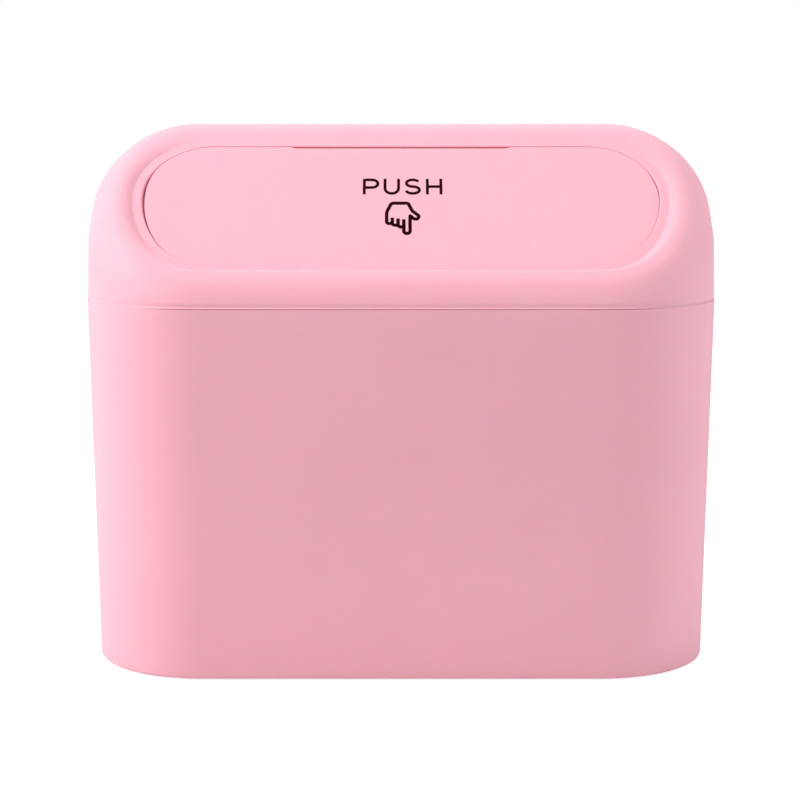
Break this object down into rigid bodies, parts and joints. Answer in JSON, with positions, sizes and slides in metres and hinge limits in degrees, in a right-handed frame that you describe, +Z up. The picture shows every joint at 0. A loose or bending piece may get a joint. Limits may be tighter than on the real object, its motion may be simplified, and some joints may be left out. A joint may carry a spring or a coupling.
{
  "type": "push top countertop bin",
  "caption": "Small wedge-topped countertop bin with a tapering bucket, a soft-rimmed lid and a flush sprung push flap that swings inward.",
  "frame": {"origin": "middle of the base, on the surface that the foot pads stand on", "axes": "+Z up, +X along the width (longest extent), +Y along the depth towards the taller rear, so the front faces -Y"},
  "size_m": [0.205, 0.08, 0.1752],
  "materials": {
    "bucket_plastic": "soft-touch matte",
    "lid_plastic": "soft-touch matte",
    "flap_plastic": "soft-touch matte",
    "inner_plastic": "moulded satin",
    "ring_plastic": "moulded satin",
    "screw_steel": "zinc plated",
    "pin_steel": "ground",
    "spring_steel": "bright drawn wire",
    "stop_rubber": "matt",
    "pad_rubber": "matt, slightly translucent"
  },
  "bodies": {
    "base": {"bucket": "bucket_plastic", "foot_pad_front_left": "pad_rubber", "foot_pad_front_right": "pad_rubber", "foot_pad_rear_left": "pad_rubber", "foot_pad_rear_right": "pad_rubber"},
    "lid": {"lid_shell": "lid_plastic", "lid_frame": "inner_plastic", "frame_screws": "screw_steel", "hinge_bracket_left": "inner_plastic", "hinge_bracket_right": "inner_plastic", "bracket_screws": "screw_steel", "hinge_pin_left": "pin_steel", "hinge_pin_right": "pin_steel", "return_spring_left": "spring_steel", "return_spring_right": "spring_steel", "flap_stops": "stop_rubber"},
    "flap": {"flap_panel": "flap_plastic", "flap_carrier": "inner_plastic", "flap_screws": "screw_steel"},
    "liner_ring": {"bag_ring": "ring_plastic"}
  },
  "joints": [
    {"name": "lid_lift", "type": "slide", "parent": "base", "child": "lid", "axis": [0, 0, 1], "range_m": [0, 0.09]},
    {"name": "flap_swing", "type": "hinge", "parent": "lid", "child": "flap", "pos_m": [0, 0.01169, 0.16004], "axis": [1, 0, 0], "range_deg": [0, 50], "stiffness_Nm_per_rad": 0.03, "springref_deg": -34.38, "deforming": ["return_spring_left", "return_spring_right"]},
    {"name": "ring_lift", "type": "slide", "parent": "base", "child": "liner_ring", "axis": [0, 0, 1], "range_m": [0, 0.036]}
  ],
  "couplings": [
    {"joint": "ring_lift", "follows": "lid_lift", "ratio": 0.4}
  ]
}
